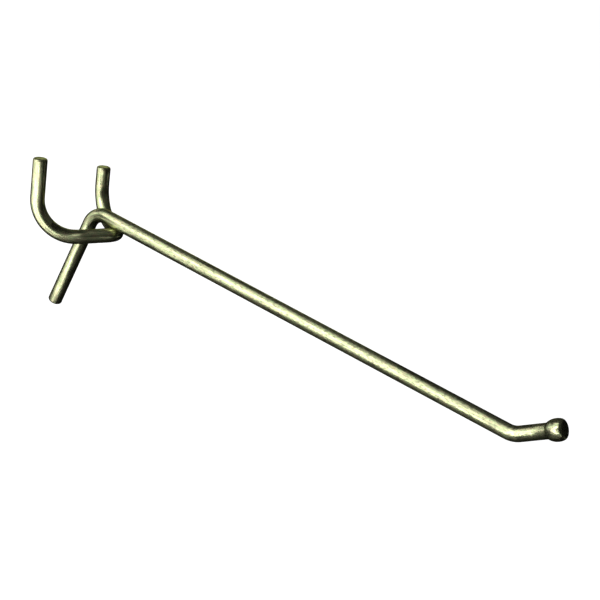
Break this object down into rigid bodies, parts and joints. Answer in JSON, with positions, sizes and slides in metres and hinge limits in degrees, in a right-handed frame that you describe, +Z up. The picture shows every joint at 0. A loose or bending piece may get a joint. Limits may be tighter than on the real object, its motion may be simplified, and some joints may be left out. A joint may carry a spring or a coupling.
{
  "type": "pegboard hook",
  "caption": "Long wire pegboard hook: a ball-ended shank with an upturned tip and a brace, welded across a forked wire whose prongs turn up behind the board.",
  "frame": {"origin": "on the front face of the pegboard, midway between the two holes, level with the lowest point of the prong bends' middle line", "axes": "+X to the right as the board is faced, +Y into the board, +Z up; the shank runs forward along -Y and rises"},
  "size_m": [0.0292, 0.1482, 0.0696],
  "materials": {
    "shank_wire": "bright drawn steel wire with a thin yellow zinc plate",
    "prong_wire": "bright drawn steel wire with a thin yellow zinc plate"
  },
  "bodies": {
    "root": {"shank_wire": "shank_wire", "prong_wire": "prong_wire"}
  },
  "joints": []
}
